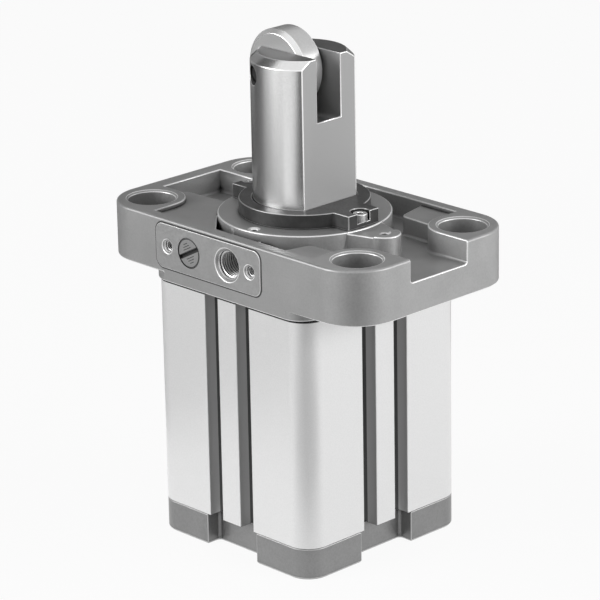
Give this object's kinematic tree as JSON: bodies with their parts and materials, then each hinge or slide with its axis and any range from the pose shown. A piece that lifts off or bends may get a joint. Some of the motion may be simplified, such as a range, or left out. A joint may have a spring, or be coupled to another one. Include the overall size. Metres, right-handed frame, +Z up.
{
  "type": "stopper cylinder",
  "caption": "Square pneumatic stopper cylinder with a cast mounting flange, sensor grooves and a spring-extended, flat-sided rod that carries a roller in its forked top.",
  "frame": {"origin": "on the rod axis at the underside of the end cap", "axes": "+Z up along the rod, in the direction it extends; +X along the flange towards its open notch and the rod's flat; -Y towards the air port pad"},
  "size_m": [0.114, 0.0703, 0.1615],
  "materials": {
    "cast_flange": "shot-blasted die casting",
    "barrel_anodised": "pale satin anodised extrusion",
    "cap_cast": "satin, milled underside",
    "black_ring": "black coated, satin",
    "rod_steel": "hard-chromed and ground",
    "roller_steel": "turned and hardened",
    "pin_steel": "ground",
    "screw_steel": "zinc plated",
    "spring_steel": "oiled wire",
    "plug_brass": "plain turned, nickel plated",
    "bush_bronze": "sintered",
    "piston_alloy": "turned",
    "seal_rubber": "matt",
    "bumper_rubber": "matt",
    "magnet_plastic": "plastic-bonded magnet",
    "band_plastic": "filled plastic tape"
  },
  "bodies": {
    "housing": {"end_cap": "cap_cast", "cylinder_barrel": "barrel_anodised", "flange_head": "cast_flange", "guide_bush": "bush_bronze", "rod_seal": "seal_rubber", "upper_o_ring": "seal_rubber", "lower_o_ring": "seal_rubber", "tie_bolts": "screw_steel", "vent_plug": "plug_brass", "locking_ring": "black_ring", "ring_screws": "screw_steel", "upper_bumper": "bumper_rubber", "lower_bumper": "bumper_rubber", "return_spring": "spring_steel"},
    "rod": {"piston_rod": "rod_steel", "piston": "piston_alloy", "piston_seal": "seal_rubber", "magnet_ring": "magnet_plastic", "guide_band": "band_plastic", "piston_circlip": "spring_steel", "roller_axle": "pin_steel"},
    "roller": {"roller": "roller_steel", "roller_bush": "bush_bronze"}
  },
  "joints": [
    {"name": "rod_slide", "type": "slide", "parent": "housing", "child": "rod", "axis": [0, 0, 1], "range_m": [-0.03, 0], "stiffness_N_per_m": 2900, "springref_m": 0.015, "deforming": ["return_spring"]},
    {"name": "roller_spin", "type": "hinge", "parent": "rod", "child": "roller", "pos_m": [-0.0072, 0, 0.14915], "axis": [0, 1, 0], "continuous": true}
  ]
}
